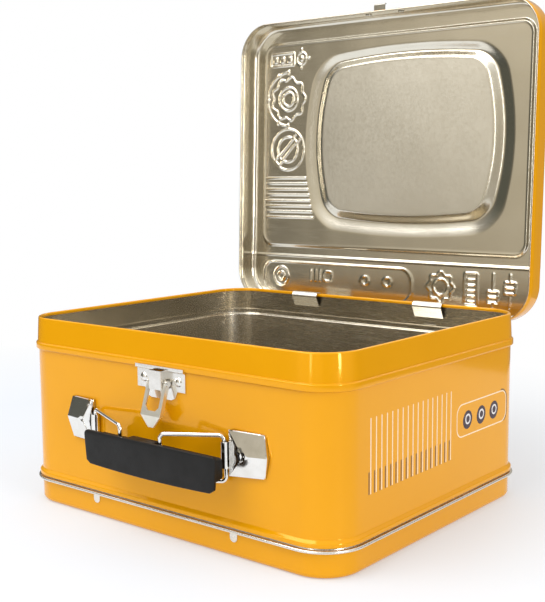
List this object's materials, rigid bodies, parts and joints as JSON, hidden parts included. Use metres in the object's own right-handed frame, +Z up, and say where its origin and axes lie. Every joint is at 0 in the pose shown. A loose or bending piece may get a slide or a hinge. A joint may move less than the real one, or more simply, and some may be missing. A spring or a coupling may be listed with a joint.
{
  "type": "metal lunch box",
  "caption": "Hinged rectangular tinplate lunch box with rolled seams, embossed lid, wire-ring handle with plastic grip, and a loop latch.",
  "frame": {"origin": "centre of the tub's flat bottom face, on the surface the box stands on", "axes": "+X along the front wall to the right as seen from the front, +Y from the latch side to the hinge side, +Z up"},
  "size_m": [0.2046, 0.2111, 0.2654],
  "materials": {
    "painted_tin": "gloss orange lacquer outside, bare tinplate inside",
    "bare_tin": "bare rolled tinplate",
    "steel_fittings": "bright nickel-plated pressed steel",
    "black_plastic": "satin moulded black"
  },
  "bodies": {
    "tub": {"body_shell": "painted_tin", "bottom_pan": "painted_tin", "base_seam_ring": "bare_tin", "latch_plate": "steel_fittings", "latch_pin": "steel_fittings", "seam_tab_front_left": "bare_tin", "seam_tab_back_left": "bare_tin", "hinge_clip_left": "bare_tin", "hinge_pin_left": "bare_tin", "bracket_base_left": "steel_fittings", "bracket_cover_left": "steel_fittings", "bracket_rivets_left": "steel_fittings", "latch_rivet_left": "steel_fittings", "seam_tab_front_right": "bare_tin", "seam_tab_back_right": "bare_tin", "hinge_clip_right": "bare_tin", "hinge_pin_right": "bare_tin", "bracket_base_right": "steel_fittings", "bracket_cover_right": "steel_fittings", "bracket_rivets_right": "steel_fittings", "latch_rivet_right": "steel_fittings"},
    "lid": {"lid_shell": "painted_tin", "catch_plate": "steel_fittings", "catch_rivets": "steel_fittings", "hinge_leaf_left": "bare_tin", "hinge_leaf_right": "bare_tin", "leaf_rivets_left": "bare_tin", "leaf_rivets_right": "bare_tin"},
    "latch_link": {"latch_link": "steel_fittings"},
    "ring_left": {"handle_ring_left": "steel_fittings"},
    "ring_right": {"handle_ring_right": "steel_fittings"},
    "grip": {"grip_front": "black_plastic", "grip_back": "black_plastic"}
  },
  "joints": [
    {"name": "lid_hinge", "type": "hinge", "parent": "tub", "child": "lid", "pos_m": [0, 0.089, 0.0861], "axis": [1, 0, 0], "range_deg": [0, 92]},
    {"name": "latch_swing", "type": "hinge", "parent": "tub", "child": "latch_link", "pos_m": [0.002, -0.0875, 0.0745], "axis": [-1, 0, 0], "range_deg": [0, 156]},
    {"name": "grip_pull", "type": "slide", "parent": "tub", "child": "grip", "axis": [0, -1, 0], "range_m": [-0.0035, 0.016]},
    {"name": "ring_left_swing", "type": "hinge", "parent": "tub", "child": "ring_left", "pos_m": [-0.0427, -0.0871, 0.04515], "axis": [0, 0, -1], "range_deg": [-8.2, 36.8]},
    {"name": "ring_right_swing", "type": "hinge", "parent": "tub", "child": "ring_right", "pos_m": [0.0427, -0.0871, 0.04515], "axis": [0, 0, 1], "range_deg": [-8.2, 36.8]}
  ],
  "couplings": [
    {"joint": "ring_left_swing", "follows": "grip_pull", "rad_per_m": 39.904},
    {"joint": "ring_right_swing", "follows": "grip_pull", "rad_per_m": 39.904}
  ]
}
